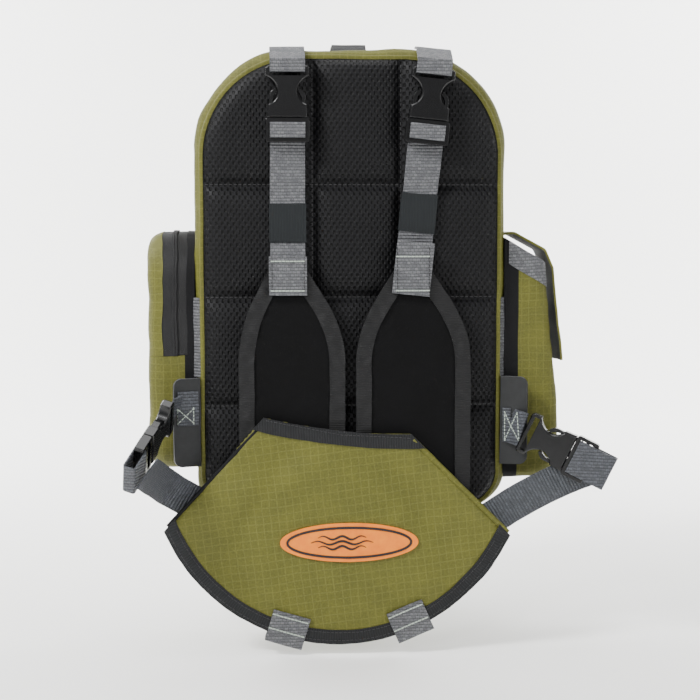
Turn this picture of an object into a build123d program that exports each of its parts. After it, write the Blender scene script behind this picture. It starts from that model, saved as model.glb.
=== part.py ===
# Tackle backpack with a clip-on yoke harness. Every physical piece is a closed solid of its own.
# Frame: origin at the centre of the flat base, Z up, harness side towards -Y, front pocket
# towards +Y, and X towards the wearer's right-hand buckle. Millimetres.

import math
import os

from build123d import *

os.makedirs("parts", exist_ok=True)

# ---- driving dimensions
clearance = 0.4  # between pieces that move apart
seat_gap = 0.3  # between soft pieces that lie on each other

pack_width = 344.0
pack_height = 510.0
pack_depth = 170.0
crown_radius = 112.0  # upper corners of the outline
foot_radius = 42.0  # lower corners of the outline
front_round = 22.0
back_round = 14.0
wall = 3.0  # fabric, foam and lining together

shell_depth = 108.0  # from the back to the main zip's tape
tape_width = 12.0  # on each side of the coil
tape_thickness = 1.4
tape_inset = 0.8  # tape surface below the fabric surface
coil_width = 2.4
coil_height = 1.6
fold_height = 63.0  # the front folds down along this line

panel_width = 324.0
panel_height = 492.0
panel_base = 6.0
panel_thickness = 16.0
panel_crown_radius = 106.0
panel_foot_radius = 38.0
seam_width = 5.0
seam_depth = 6.0
column_seams = (-43.0, 54.0)
row_seams = (119.0, 239.0, 362.0)
piping_radius = 2.4
frame_sheet_thickness = 2.0

web = 38.0
web_thickness = 1.8
buckle_width = 47.0
socket_length = 55.0
socket_thickness = 12.5
buckle_skin = 2.0
plug_length = 25.6  # base of the plug, outside the socket
plug_thickness = 10.0
plug_reach = 31.0  # arms inside the socket
bar = 4.5
web_slot = 6.0

shoulder_top = {"left": (-70.0, 488.0), "right": (88.0, 486.0)}
shoulder_foot = {"left": (-70.0, 272.0), "right": (66.0, 272.0)}
strap_gap = 1.5
strap_overlap = 26.0  # strap sewn over the pad
keeper_height = 42.0
keeper_top = {"left": 341.0, "right": 352.0}
tab_width = 41.0
tab_length = {"left": 42.0, "right": 58.0}

pad_half_width = {"left": 58.0, "right": 63.0}
pad_centre = {"left": -66.0, "right": 67.0}
pad_thickness = 11.0
pad_top = 270.0
pad_bottom = 26.0
pad_neck = 20.0
pad_shoulder = 165.0  # level where the pad reaches its full width
pad_edge = 17.0
binding_thickness = 1.2

yoke_thickness = 7.0
yoke_edge = 16.0
yoke_top_left = (-97.0, 110.0)
yoke_top_right = (64.0, 90.0)
yoke_top_sag = (-10.0, 94.0)
yoke_corner_left = (-206.0, -14.0)
yoke_corner_right = (174.0, -23.0)
yoke_lowest = (-16.0, -143.0)
patch_centre = (-4.0, -29.0)
patch_size = (152.0, 43.0)
patch_thickness = 2.4
loop_angle = {"left": -17.0, "right": 23.0}  # round the lower edge, from its lowest point
loop_width = 42.0
loop_length = 36.0
loop_reach = 9.0  # below the edge of the yoke

wing_height = 98.0
wing_middle = 101.0
wing_length = 30.0
wing_thickness = 5.0
wing_flare = 18.0
wing_corner = 9.0
hip_bar = {"left": (-200.0, -114.0, 113.0), "right": (190.0, -114.0, 92.0)}
hip_axis = {"left": (-0.36, -0.74, -0.56), "right": (0.86, -0.28, -0.43)}
hip_across = {"left": (-0.10, 0.60, -0.80), "right": (-0.38, 0.08, -0.85)}
hip_turn = {"left": (-192.0, 26.0), "right": (186.0, 14.0)}  # beside the edge of the yoke
hip_sewn = {"left": (-150.0, 2.0), "right": (132.0, -20.0)}
run_stand = 13.5  # hip run behind the middle of the plug
wing_stitching = {"left": 26.0, "right": 12.0}  # webbing carried this far along the wing
tail_reach = 22.0

side_pocket_middle = -32.0
pocket_width = 92.0
pocket_base = 44.0
pocket_height = 267.0
pocket_depth = 53.0
pocket_crown = 45.0
pocket_foot = 32.0
pocket_round = 20.0
pocket_wall = 2.6
pocket_tape_start = 9.0
pocket_tape_width = 13.5
pocket_fold = 174.0

sleeve_width = 96.0
sleeve_wall = 2.4
sleeve_base = 32.0
sleeve_rim = 276.0
sleeve_back = 304.0
sleeve_reach = 46.0
sleeve_belly = 64.0
sleeve_belly_level = 78.0
sleeve_foot = 24.0
sleeve_corner = 12.0
rim_height = 22.0
rim_thickness = 1.2
flap_width = 74.0
flap_thickness = 2.6
flap_drop = 112.0
flap_flare = 14.0
flap_lift = 4.0

front_width = 250.0
front_base = 84.0
front_height = 262.0
front_depth = 44.0
front_corner = 38.0
front_edge = 16.0
front_slot_width = 186.0
front_slot_height = 14.0
front_slot_level = 300.0
chain_width = 25.0
chain_levels = (138.0, 206.0)

grab_start = -55.0
grab_end = 15.0
grab_rise = 9.0
grab_thickness = 2.2

slider_length = 17.0
slider_width = 11.0
slider_height = 3.6
bridge_height = 2.6
meeting = 311.0  # level where the main zip's two sliders meet
pull_length = 32.0
pull_width = 8.0
pull_thickness = 3.0

# ---- values that follow
SIDES = {"left": -1.0, "right": 1.0}
back = -pack_depth / 2
front = pack_depth / 2
half_width = pack_width / 2
coil_line = back + shell_depth + tape_width
door_start = coil_line + tape_width
panel_front = back - panel_thickness
web_back = panel_front - strap_gap
web_middle = web_back - web_thickness / 2
web_front = web_back - web_thickness
plug_back = web_front - clearance
buckle_middle = plug_back - plug_thickness / 2
pad_back = panel_front - seat_gap
pad_front = pad_back - pad_thickness
pad_skin = pad_front - binding_thickness
sewn_middle = pad_skin - seat_gap - web_thickness / 2
yoke_back = pad_skin - seat_gap
yoke_front = yoke_back - yoke_thickness
plug_base = socket_length + clearance
plug_end = plug_base + plug_length
front_plane = front + front_depth
pocket_coil = half_width + pocket_tape_start + pocket_tape_width
pocket_lid_start = pocket_coil + pocket_tape_width
slider_stand = coil_height - tape_inset + seat_gap
pull_stand = slider_stand + slider_height + bridge_height + seat_gap
slider_step = slider_length / 2 + seat_gap


def export(name, piece):
    piece.label = name
    export_step(piece, f"parts/{name}.step")


def export_group(name, pieces):
    """Alike pieces in one file, as separate solids."""
    with BuildPart() as group:
        for piece in pieces:
            add(piece)
    export(name, group.part)


def square_to(direction, axis):
    """The part of a direction that stands square to an axis."""
    axis = Vector(*axis).normalized()
    direction = Vector(*direction)
    return (direction - axis * direction.dot(axis)).normalized()


def frame_at(origin, axis, across):
    """Place of a piece drawn with its width along X and its length along Z."""
    return Plane(origin=Vector(*origin), x_dir=square_to(across, axis), z_dir=Vector(*axis)).location


def arch(plane, width, height, crown, foot, middle=0.0, base=0.0, inset=0.0):
    """Rounded outline with large upper corners, shrunk on every side by inset."""
    with BuildSketch(plane) as outline:
        with Locations((middle, base + height / 2)):
            Rectangle(width - 2 * inset, height - 2 * inset)
        fillet(outline.vertices().group_by(Axis.Y)[-1], crown - inset)
        fillet(outline.vertices().group_by(Axis.Y)[0], foot - inset)
    return outline.sketch


def block(lowest, highest):
    """Box between two corners."""
    sizes = [high - low for low, high in zip(lowest, highest)]
    middle = [(high + low) / 2 for low, high in zip(lowest, highest)]
    with BuildPart() as solid:
        with Locations(tuple(middle)):
            Box(*sizes)
    return solid.part


def ribbon(start, end, across, width=web, thickness=web_thickness):
    """Straight flat strap between two points; across is the direction of its width."""
    run = Vector(*end) - Vector(*start)
    with BuildPart() as strap:
        with BuildSketch(Plane(origin=Vector(*start), x_dir=square_to(across, run), z_dir=run)):
            Rectangle(width, thickness)
        extrude(amount=run.length)
    return strap.part


# ---- pack body, cut into a tub and a front that folds down
def pack_face(depth, inset):
    place = Plane.XZ.offset(-(back + depth))
    return arch(place, pack_width, pack_height, crown_radius, foot_radius, inset=inset)


def pack_hull(inset):
    with BuildPart() as hull:
        extrude(pack_face(inset, inset), amount=-(pack_depth - 2 * inset))
        fillet(hull.faces().sort_by(Axis.Y)[-1].edges(), front_round - inset)
        fillet(hull.faces().sort_by(Axis.Y)[0].edges(), back_round - inset)
    return hull.part


def main_tape(start, end, coil_start):
    """Half of the main zip: a band that follows the outline, with its row of coil."""
    with BuildPart() as band:
        extrude(pack_face(start, tape_inset), amount=-(end - start))
        extrude(pack_face(coil_start, tape_inset - coil_height), amount=-coil_width)
        inside = pack_face(start, tape_inset + tape_thickness)
        extrude(inside, amount=-(end - start), mode=Mode.SUBTRACT)
        with Locations((0, coil_line, 0)):
            Box(2 * pack_width, 4 * tape_width, 2 * (fold_height + clearance), mode=Mode.SUBTRACT)
    return band.part


body_outside = pack_hull(0.0)
body_inside = pack_hull(wall)
side_reach = pack_width
door_room = block((-side_reach, back + shell_depth, fold_height), (side_reach, front + 1, pack_height + 1))
door_block = block(
    (-side_reach, door_start, fold_height + clearance), (side_reach, front + 1, pack_height + 1)
)

with BuildPart() as main_shell:
    add(body_outside)
    add(body_inside, mode=Mode.SUBTRACT)
    add(door_room, mode=Mode.SUBTRACT)
export("main_shell", main_shell.part)

with BuildPart() as front_door:
    add(body_outside)
    add(body_inside, mode=Mode.SUBTRACT)
    add(door_block, mode=Mode.INTERSECT)
export("front_door", front_door.part)

half_gap = clearance / 2
shell_tape_end = shell_depth + tape_width - half_gap
door_tape_start = shell_depth + tape_width + half_gap
shell_tape = main_tape(shell_depth, shell_tape_end, shell_tape_end - coil_width)
door_tape = main_tape(door_tape_start, shell_depth + 2 * tape_width, door_tape_start)
export("main_zip_tub_tape", shell_tape)
export("main_zip_door_tape", door_tape)

sheet_margin = 9.0
with BuildPart() as frame_sheet:
    extrude(
        arch(
            Plane.XZ.offset(-(back + wall)),
            panel_width,
            panel_height,
            panel_crown_radius,
            panel_foot_radius,
            base=panel_base,
            inset=sheet_margin,
        ),
        amount=-frame_sheet_thickness,
    )
export("frame_sheet", frame_sheet.part)

sleeve_face = back + wall + frame_sheet_thickness
divider_size = (250.0, 230.0)
divider_room = 10.0
divider_wall = 2.0
with BuildPart() as inner_divider:
    with BuildSketch(Plane.XZ.offset(-sleeve_face)):
        with Locations((0, sheet_margin + divider_size[1] / 2 + panel_base)):
            RectangleRounded(*divider_size, 12.0)
    extrude(amount=-divider_room)
    with BuildSketch(Plane.XZ.offset(-sleeve_face)):
        with Locations((0, sheet_margin + divider_size[1] / 2 + panel_base + 2 * divider_wall)):
            Rectangle(divider_size[0] - 2 * divider_wall, divider_size[1])
    extrude(amount=-(divider_room - divider_wall), mode=Mode.SUBTRACT)
export("inner_divider", inner_divider.part)

# ---- back panel
def panel_face(place, inset=0.0):
    return arch(
        place,
        panel_width,
        panel_height,
        panel_crown_radius,
        panel_foot_radius,
        base=panel_base,
        inset=inset,
    )


with BuildPart() as back_panel:
    extrude(panel_face(Plane.XZ.offset(-back)), amount=panel_thickness)
    fillet(back_panel.faces().sort_by(Axis.Y)[0].edges(), panel_thickness / 2)
    with Locations(*[(x, panel_front, pack_height / 2) for x in column_seams]):
        Box(seam_width, 2 * seam_depth, pack_height, mode=Mode.SUBTRACT)
    with Locations(*[(0, panel_front, z) for z in row_seams]):
        Box(pack_width, 2 * seam_depth, seam_width, mode=Mode.SUBTRACT)
export("back_panel", back_panel.part)

piping_depth = 2 * piping_radius
with BuildPart() as back_piping:
    extrude(panel_face(Plane.XZ.offset(-back), -piping_depth), amount=piping_depth)
    extrude(panel_face(Plane.XZ.offset(-back)), amount=piping_depth, mode=Mode.SUBTRACT)
    rims = back_piping.faces().sort_by(Axis.Y)[0].outer_wire().edges()
    fillet(rims, piping_radius)
export("back_piping", back_piping.part)

with BuildPart() as grab_loop:
    with BuildSketch(Plane.YZ) as grab_profile:
        with BuildLine():
            slope = 16.0
            Polyline(
                (grab_start, pack_height),
                (grab_start + slope, pack_height + grab_rise),
                (grab_end - slope, pack_height + grab_rise),
                (grab_end, pack_height),
                close=True,
            )
        make_face()
        with BuildLine():
            Polyline(
                (grab_start + 3 * grab_thickness, pack_height),
                (grab_start + slope + grab_thickness, pack_height + grab_rise - grab_thickness),
                (grab_end - slope - grab_thickness, pack_height + grab_rise - grab_thickness),
                (grab_end - 3 * grab_thickness, pack_height),
                close=True,
            )
        make_face(mode=Mode.SUBTRACT)
    extrude(amount=web / 2, both=True)
export("grab_loop", grab_loop.part)


# ---- side-release buckle, drawn with its width along X, thickness along Y and length along Z
def buckle_socket():
    """Socket half: a webbing bar, a waist with open sides, and a flat mouth."""
    half = buckle_width / 2
    waist = 10.5
    mouth = half - 1.8
    with BuildPart() as socket:
        with BuildSketch(Plane.XZ):
            with BuildLine():
                Line((0, 0), (half - 2.5, 0))
                Line((half - 2.5, 0), (half, 2.5))
                Line((half, 2.5), (half, 11))
                ThreePointArc((half, 11), (14.5, 17), (waist, 27))
                ThreePointArc((waist, 27), (13.5, 36), (mouth - 1, 41))
                Line((mouth - 1, 41), (mouth, socket_length))
                Line((mouth, socket_length), (0, socket_length))
                mirror(about=Plane.YZ)
            make_face()
        extrude(amount=socket_thickness / 2, both=True)
        chamfer(socket.faces().sort_by(Axis.Y)[0].edges(), 1.2)
        chamfer(socket.faces().sort_by(Axis.Y)[-1].edges(), 1.2)
        with Locations((0, 0, bar + web_slot / 2)):
            Box(web + 1.5, 2 * socket_thickness, web_slot, mode=Mode.SUBTRACT)
        room_start = socket_length - plug_reach - 2.5
        with Locations((0, 0, (room_start + socket_length) / 2)):
            Box(
                2 * (mouth - buckle_skin),
                socket_thickness - 2 * buckle_skin,
                socket_length - room_start,
                mode=Mode.SUBTRACT,
            )
    return socket.part


def buckle_plug():
    """Plug half: two spring arms and a guide, on a base with the bars of a ladder lock."""
    arm_out = buckle_width / 2 - 1.8 - buckle_skin - clearance
    arm_in = arm_out - 3.6
    tip = socket_length - plug_reach
    prong_thickness = socket_thickness - 2 * buckle_skin - 2 * clearance
    with BuildPart() as plug:
        with BuildSketch(Plane.XZ):
            with Locations((0, plug_base + plug_length / 2)):
                RectangleRounded(buckle_width, plug_length, 3.0)
            for slot in (plug_base + bar, plug_end - bar - web_slot):
                with Locations((0, slot + web_slot / 2)):
                    Rectangle(web + 1.5, web_slot, mode=Mode.SUBTRACT)
        extrude(amount=plug_thickness / 2, both=True)
        with BuildSketch(Plane.XZ):
            with Locations((0, (tip + 3 + plug_base) / 2)):
                Rectangle(7.0, plug_base - tip - 1)
            with BuildLine():
                Line((arm_out, plug_base + 1), (arm_out, tip + 11))
                ThreePointArc((arm_out, tip + 11), (arm_out - 1.6, tip + 4), (13.0, tip))
                Line((13.0, tip), (11.4, tip + 3))
                ThreePointArc((11.4, tip + 3), (arm_in - 1.2, tip + 7.5), (arm_in, tip + 13))
                Line((arm_in, tip + 13), (arm_in, plug_base + 1))
                Line((arm_in, plug_base + 1), (arm_out, plug_base + 1))
            make_face()
            mirror(about=Plane.YZ)
        extrude(amount=prong_thickness / 2, both=True)
    return plug.part


def plug_wrap(tail):
    """Webbing that turns round the plug's middle bar, with a tail loop round its end bar."""
    outer = plug_thickness / 2 + seat_gap
    skin = outer + web_thickness
    first = plug_base + bar + web_thickness
    last = plug_end - bar - web_thickness
    with BuildPart() as wrap:
        with BuildSketch(Plane.YZ):
            with Locations((-(outer + skin) / 2, (first + last) / 2)):
                Rectangle(web_thickness, last - first + 2 * web_thickness)
            for level in (first, last):
                with Locations((-skin / 2, level)):
                    Rectangle(skin, web_thickness)
            if tail:
                with Locations((0, (last + plug_end + tail) / 2)):
                    RectangleRounded(2 * skin, plug_end + tail - last + web_thickness, 3.0)
                with Locations((0, (last + plug_end + tail) / 2)):
                    height = plug_end + tail - last - web_thickness
                    RectangleRounded(2 * outer, height, 1.2, mode=Mode.SUBTRACT)
        extrude(amount=web / 2, both=True)
    return wrap.part


socket_solid = buckle_socket()
plug_solid = buckle_plug()

# ---- harness: buckles, straps, pads and yoke
top_loops = []
keepers = []
tabs = []
for side, sign in SIDES.items():
    top_x, top_z = shoulder_top[side]
    foot_x, foot_z = shoulder_foot[side]
    top = (top_x, buckle_middle, top_z)
    down = Vector(foot_x - top_x, 0, foot_z - top_z).normalized()
    place = frame_at(top, down, (-1, 0, 0))
    export(f"shoulder_socket_{side}", socket_solid.moved(place))
    export(f"shoulder_plug_{side}", plug_solid.moved(place))
    export(f"shoulder_wrap_{side}", plug_wrap(0.0).moved(place))

    # webbing from the crown seam, round the socket's bar and back
    loop_in = buckle_middle
    crown_z = pack_height - top_z
    with BuildPart() as top_loop:
        with BuildSketch(Plane.YZ):
            with BuildLine():
                Polyline(
                    (-socket_thickness / 2 - web_thickness, -bar - web_thickness),
                    (-socket_thickness / 2 - web_thickness, crown_z - 14),
                    (back - loop_in - 3, crown_z + 0.2),
                    (back - loop_in + 9, crown_z + 2.4),
                    (back - loop_in + 20, crown_z + 2.4),
                    (back - loop_in + 20, crown_z + 0.5),
                    (back - loop_in + 10, crown_z + 0.5),
                    (back - loop_in, crown_z - 2.0),
                    (-socket_thickness / 2, crown_z - 17),
                    (-socket_thickness / 2, -bar - 0.4),
                    (socket_thickness / 2 - 1.2, -bar - 0.4),
                    (socket_thickness / 2 - 1.2, -bar - web_thickness),
                    close=True,
                )
            make_face()
        extrude(amount=web / 2, both=True)
    loop_place = Plane(origin=top, x_dir=square_to((1, 0, 0), down), z_dir=down * -1).location
    top_loops.append(top_loop.part.moved(loop_place))

    # webbing run, from under the plug to the front of the pad
    run_start = socket_length + 12
    run_length = (Vector(foot_x, 0, foot_z) - Vector(top_x, 0, top_z)).length
    lift = web_back - (sewn_middle + web_thickness / 2)
    with BuildPart() as strap:
        with BuildSketch(Plane.YZ):
            with BuildLine():
                bend_start = run_length - 26
                bend_end = run_length - 8
                strap_end = run_length + strap_overlap
                near = web_back - buckle_middle
                Polyline(
                    (near, run_start),
                    (near, bend_start),
                    (near - lift, bend_end),
                    (near - lift, strap_end),
                    (near - lift - web_thickness, strap_end),
                    (near - lift - web_thickness, bend_end),
                    (near - web_thickness, bend_start),
                    (near - web_thickness, run_start),
                    close=True,
                )
            make_face()
        extrude(amount=web / 2, both=True)
    export(f"shoulder_strap_{side}", strap.part.moved(place))

    # elastic keeper round the run
    keeper_from = (top_z - keeper_top[side]) / (top_z - foot_z) * run_length
    sleeve_skin = 1.1
    with BuildPart() as keeper:
        with Locations((0, web_middle - buckle_middle, keeper_from + keeper_height / 2)):
            Box(web + 2 * sleeve_skin, web_thickness + 2 * sleeve_skin, keeper_height)
            Box(web, web_thickness, 2 * keeper_height, mode=Mode.SUBTRACT)
    keepers.append(keeper.part.moved(place))

    # stitched tab over the end of the run
    tab_face = near - lift - web_thickness
    with BuildPart() as tab:
        with Locations((0, tab_face - web_thickness / 2, strap_end - tab_length[side] / 2 + 4)):
            Box(tab_width, web_thickness, tab_length[side])
    tabs.append(tab.part.moved(place))

    # shoulder pad: narrow at the strap, full width lower down
    middle = pad_centre[side]
    half = pad_half_width[side]

    def pad_face(depth, inset):
        with BuildSketch(Plane.XZ.offset(-depth)) as outline:
            with BuildLine():
                neck = pad_neck - 0.6 * inset
                left_top = (foot_x - neck, pad_top - inset)
                right_top = (foot_x + neck, pad_top - inset)
                left = (middle - half + inset, pad_shoulder)
                right = (middle + half - inset, pad_shoulder)
                right_foot = (middle + half - inset, pad_bottom)
                left_foot = (middle - half + inset, pad_bottom)
                Line(left_top, right_top)
                Spline(right_top, right, tangents=[(0.5, -0.86), (0, -1)])
                Line(right, right_foot)
                Line(right_foot, left_foot)
                Line(left_foot, left)
                Spline(left, left_top, tangents=[(0, 1), (0.5, 0.86)])
            make_face()
        return outline.sketch

    with BuildPart() as shoulder_pad:
        extrude(pad_face(pad_back, 0), amount=pad_thickness)
    export(f"shoulder_pad_{side}", shoulder_pad.part)

    with BuildPart() as pad_binding:
        extrude(pad_face(pad_front, 0), amount=binding_thickness)
        extrude(pad_face(pad_front, pad_edge), amount=binding_thickness, mode=Mode.SUBTRACT)
    export(f"pad_binding_{side}", pad_binding.part)

export_group("top_loops", top_loops)
export_group("elastic_keepers", keepers)
export_group("strap_tabs", tabs)


def yoke_face(depth):
    with BuildSketch(Plane.XZ.offset(-depth)) as outline:
        with BuildLine():
            ThreePointArc(yoke_top_left, yoke_top_sag, yoke_top_right)
            Line(yoke_top_right, yoke_corner_right)
            ThreePointArc(yoke_corner_right, yoke_lowest, yoke_corner_left)
            Line(yoke_corner_left, yoke_top_left)
        make_face()
    return outline.sketch


with BuildPart() as yoke_panel:
    extrude(yoke_face(yoke_back), amount=yoke_thickness)
export("yoke_panel", yoke_panel.part)

yoke_edges = yoke_face(yoke_front).edges().filter_by(GeomType.CIRCLE).sort_by(Axis.Z)
yoke_arc = yoke_edges[0]
yoke_centre = yoke_arc.arc_center
yoke_radius = yoke_arc.radius
top_arc = yoke_edges[-1]


def yoke_band(arc, inner, outer):
    """Plate of binding along one curved edge of the yoke, between two radii."""
    with BuildPart() as band:
        extrude(yoke_face(yoke_front), amount=binding_thickness)
        with BuildSketch(Plane.XZ.offset(-yoke_front)):
            with Locations((arc.arc_center.X, arc.arc_center.Z)):
                Circle(outer)
                Circle(inner, mode=Mode.SUBTRACT)
        extrude(amount=binding_thickness, mode=Mode.INTERSECT)
    return band.part


export("yoke_lower_binding", yoke_band(yoke_arc, yoke_radius - yoke_edge, yoke_radius + 1))
export("yoke_upper_binding", yoke_band(top_arc, top_arc.radius - 1, top_arc.radius + yoke_edge))

with BuildPart() as yoke_patch:
    with BuildSketch(Plane.XZ.offset(-yoke_front)):
        with Locations(patch_centre):
            Ellipse(patch_size[0] / 2, patch_size[1] / 2)
    extrude(amount=patch_thickness)
export("yoke_patch", yoke_patch.part)

# webbing loops round the lower edge of the yoke
yoke_loops = []
for side, angle in loop_angle.items():
    outward = Vector(math.sin(math.radians(angle)), 0, -math.cos(math.radians(angle)))
    across = Vector(-outward.Z, 0, outward.X)
    edge_point = Vector(yoke_centre.X, 0, yoke_centre.Z) + outward * yoke_radius
    with BuildPart() as yoke_loop:
        with BuildSketch(Plane(origin=edge_point, x_dir=(0, 1, 0), z_dir=across)):
            with BuildLine():
                face_y = yoke_front - binding_thickness
                rear_y = yoke_back
                Polyline(
                    (face_y - web_thickness, loop_length - loop_reach),
                    (face_y - web_thickness, -loop_reach),
                    (rear_y + web_thickness, -loop_reach),
                    (rear_y + web_thickness, loop_length - loop_reach),
                    (rear_y, loop_length - loop_reach),
                    (rear_y, -loop_reach + web_thickness),
                    (face_y, -loop_reach + web_thickness),
                    (face_y, loop_length - loop_reach),
                    close=True,
                )
            make_face()
        extrude(amount=loop_width / 2, both=True)
    yoke_loops.append(yoke_loop.part)
export_group("yoke_loops", yoke_loops)

# ---- hip wings, their webbing and their buckles
upright = Vector(0, 0, 1)
flare = math.radians(wing_flare)
for side, sign in SIDES.items():
    out = Vector(sign * math.cos(flare), -math.sin(flare), 0)
    facing = out.cross(upright) * sign
    root_x = sign * (panel_width / 2 + piping_depth + seat_gap)
    root = Vector(root_x, back - wing_thickness, 0)
    with BuildPart() as hip_wing:
        with BuildSketch(Plane(origin=root, x_dir=out, z_dir=out.cross(upright))) as wing_outline:
            with Locations((wing_length / 2, wing_middle)):
                Rectangle(wing_length, wing_height)
            fillet(wing_outline.vertices().group_by(Axis.X)[-1], wing_corner)
        extrude(amount=wing_thickness / 2, both=True)
    export(f"hip_wing_{side}", hip_wing.part)

    bar_end = Vector(*hip_bar[side])
    axis = Vector(*hip_axis[side]).normalized()
    hip_place = frame_at(bar_end, axis, hip_across[side])
    export(f"hip_socket_{side}", socket_solid.moved(hip_place))
    export(f"hip_plug_{side}", plug_solid.moved(hip_place))
    export(f"hip_wrap_{side}", plug_wrap(tail_reach).moved(hip_place))

    # webbing stitched to the wing and carried on to the socket's bar
    on_wing = facing * (wing_thickness / 2 + web_thickness / 2 + seat_gap)
    level = upright * (bar_end.Z + 4)
    stitched_start = root + out * 3 + on_wing + level
    stitched_end = root + out * wing_stitching[side] + on_wing + level
    with BuildPart() as hip_anchor:
        add(ribbon(stitched_start, stitched_end, upright))
        add(ribbon(stitched_end - out, bar_end - axis * web_thickness, hip_across[side]))
        add(hip_wing.part, mode=Mode.SUBTRACT)
        add(socket_solid.moved(hip_place), mode=Mode.SUBTRACT)
    export(f"hip_anchor_{side}", hip_anchor.part)

    # webbing from the plug to behind the corner of the yoke
    behind = axis.cross(square_to(hip_across[side], axis))
    run_from = bar_end + axis * (plug_end + 6) + behind * run_stand
    sewn_level = yoke_back + web_thickness / 2 + seat_gap
    turn_x, turn_z = hip_turn[side]
    sewn_x, sewn_z = hip_sewn[side]
    turn = Vector(turn_x, sewn_level, turn_z)
    sewn = Vector(sewn_x, sewn_level, sewn_z)
    run_across = (sewn - turn).cross(Vector(0, 1, 0))
    with BuildPart() as hip_run:
        add(ribbon(run_from, turn, run_across))
        add(ribbon(turn - (sewn - turn).normalized(), sewn, run_across))
        add(socket_solid.moved(hip_place), mode=Mode.SUBTRACT)
    export(f"hip_run_{side}", hip_run.part)


# ---- left pocket, closed by a zip round its edge
def pocket_face(depth, inset):
    place = Plane.YZ.offset(-(half_width + depth))
    return arch(
        place,
        pocket_width,
        pocket_height,
        pocket_crown,
        pocket_foot,
        middle=side_pocket_middle,
        base=pocket_base,
        inset=inset,
    )


def pocket_hull(inset):
    with BuildPart() as hull:
        extrude(pocket_face(inset, inset), amount=-(pocket_depth - 2 * inset))
        fillet(hull.faces().sort_by(Axis.X)[0].edges(), pocket_round - inset)
    return hull.part


def pocket_tape(start, end, coil_start):
    below = (-pocket_coil, side_pocket_middle, 0)
    with BuildPart() as band:
        extrude(pocket_face(start, tape_inset), amount=-(end - start))
        extrude(pocket_face(coil_start, tape_inset - coil_height), amount=-coil_width)
        inside = pocket_face(start, tape_inset + tape_thickness)
        extrude(inside, amount=-(end - start), mode=Mode.SUBTRACT)
        with Locations(below):
            Box(4 * pocket_tape_width, 2 * pocket_width, 2 * (pocket_fold + clearance), mode=Mode.SUBTRACT)
    return band.part


pocket_outside = pocket_hull(0.0)
pocket_inside = pocket_hull(pocket_wall)
pocket_far = -(half_width + pocket_depth + 1)
pocket_front = side_pocket_middle - pocket_width
pocket_rear = side_pocket_middle + pocket_width
pocket_top = pocket_base + pocket_height + 1
lid_room = block(
    (pocket_far, pocket_front, pocket_fold),
    (-(half_width + pocket_tape_start), pocket_rear, pocket_top),
)
lid_block = block(
    (pocket_far, pocket_front, pocket_fold + clearance), (-pocket_lid_start, pocket_rear, pocket_top)
)

with BuildPart() as left_pocket:
    add(pocket_outside)
    add(pocket_inside, mode=Mode.SUBTRACT)
    add(lid_room, mode=Mode.SUBTRACT)
export("left_pocket", left_pocket.part)

with BuildPart() as left_pocket_lid:
    add(pocket_outside)
    add(pocket_inside, mode=Mode.SUBTRACT)
    add(lid_block, mode=Mode.INTERSECT)
export("left_pocket_lid", left_pocket_lid.part)

inner_end = pocket_tape_start + pocket_tape_width - half_gap
outer_start = pocket_tape_start + pocket_tape_width + half_gap
export("left_pocket_tape", pocket_tape(pocket_tape_start, inner_end, inner_end - coil_width))
outer_tape = pocket_tape(outer_start, pocket_tape_start + 2 * pocket_tape_width, outer_start)
export("left_lid_tape", outer_tape)


# ---- right pocket, an open sleeve with a flap
def sleeve_solid(grow):
    """The sleeve as one block; grow moves its outer faces outwards, or inwards where negative."""
    reach = half_width + sleeve_reach + grow
    belly = half_width + sleeve_belly + grow
    start = side_pocket_middle - sleeve_width / 2 - grow
    with BuildPart() as solid:
        with BuildSketch(Plane.XZ.offset(-start)):
            with BuildLine():
                Polyline(
                    (reach, sleeve_rim),
                    (half_width, sleeve_back),
                    (half_width, sleeve_base - grow),
                    (belly - sleeve_foot, sleeve_base - grow),
                )
                Spline(
                    (belly - sleeve_foot, sleeve_base - grow),
                    (belly, sleeve_belly_level),
                    (reach, sleeve_rim),
                    tangents=[(1, 0), (-0.1, 1)],
                )
            make_face()
        extrude(amount=-(sleeve_width + 2 * grow))
        corners = solid.edges().filter_by(lambda e: e.bounding_box().size.Y < 0.01)
        outer = corners.filter_by(lambda e: e.geom_type == GeomType.BSPLINE)
        fillet(outer, sleeve_corner + grow)
    return solid.part


sleeve_outside = sleeve_solid(0.0)
sleeve_skin_side = block(
    (half_width + sleeve_wall, side_pocket_middle - sleeve_width, sleeve_base - 10),
    (half_width + 2 * sleeve_belly, side_pocket_middle + sleeve_width, sleeve_back + 10),
)
with BuildPart() as sleeve_inside:
    add(sleeve_solid(-sleeve_wall))
    add(sleeve_skin_side, mode=Mode.INTERSECT)

# everything above the slanting mouth
mouth_place = Plane(
    origin=(half_width, side_pocket_middle, sleeve_back),
    x_dir=(sleeve_reach, 0, sleeve_rim - sleeve_back),
    z_dir=(sleeve_back - sleeve_rim, 0, sleeve_reach),
)
with BuildPart() as mouth_opening:
    with BuildSketch(mouth_place.offset(-2 * sleeve_wall)):
        with Locations((sleeve_reach / 2 + sleeve_wall / 2, 0)):
            Rectangle(sleeve_reach - 2.5 * sleeve_wall, sleeve_width - 2 * sleeve_wall - sleeve_corner)
    extrude(amount=4 * sleeve_wall)

with BuildPart() as right_pocket:
    add(sleeve_outside)
    add(sleeve_inside.part, mode=Mode.SUBTRACT)
    add(mouth_opening.part, mode=Mode.SUBTRACT)
export("right_pocket", right_pocket.part)

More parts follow.
